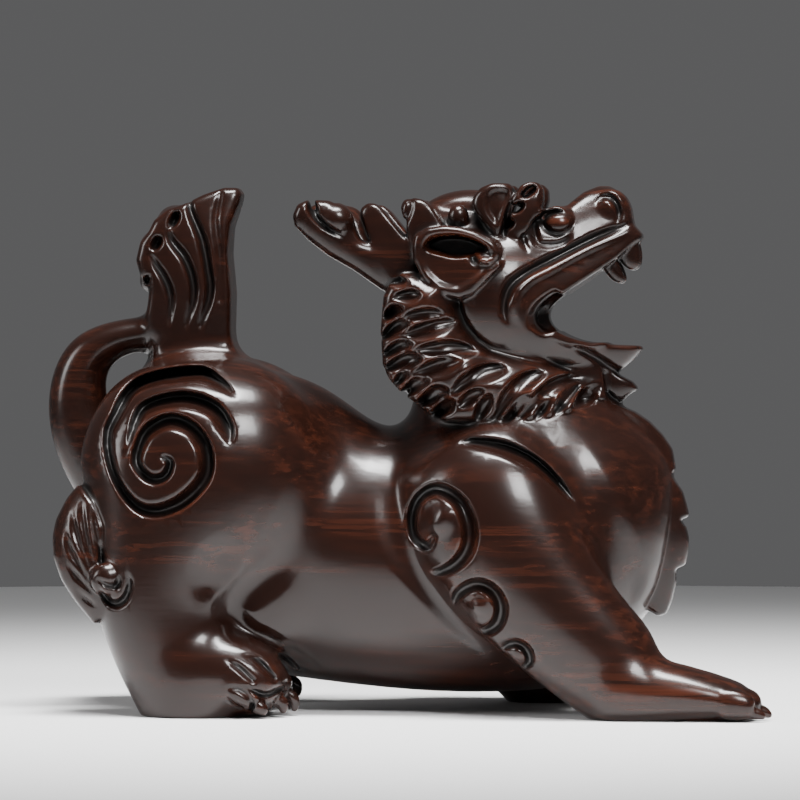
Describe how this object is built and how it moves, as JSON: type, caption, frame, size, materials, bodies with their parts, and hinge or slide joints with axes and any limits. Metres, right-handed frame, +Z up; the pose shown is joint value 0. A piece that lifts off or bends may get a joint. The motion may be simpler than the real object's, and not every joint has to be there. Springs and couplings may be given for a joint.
{
  "type": "pixiu figure",
  "caption": "Carved dark wood pixiu, a crouching lion-like beast with open jaws, horns, a gouged mane, spiral haunches and a raised fluted tail.",
  "frame": {"origin": "on the ground, under the middle of the figure's box", "axes": "+X along the body towards the muzzle, +Y to the figure's left, +Z up"},
  "size_m": [0.2, 0.094, 0.1441],
  "materials": {
    "dark_wood": "near-black reddish-brown hardwood, polished and waxed to a gloss"
  },
  "bodies": {
    "root": {"pixiu": "dark_wood"}
  },
  "joints": []
}
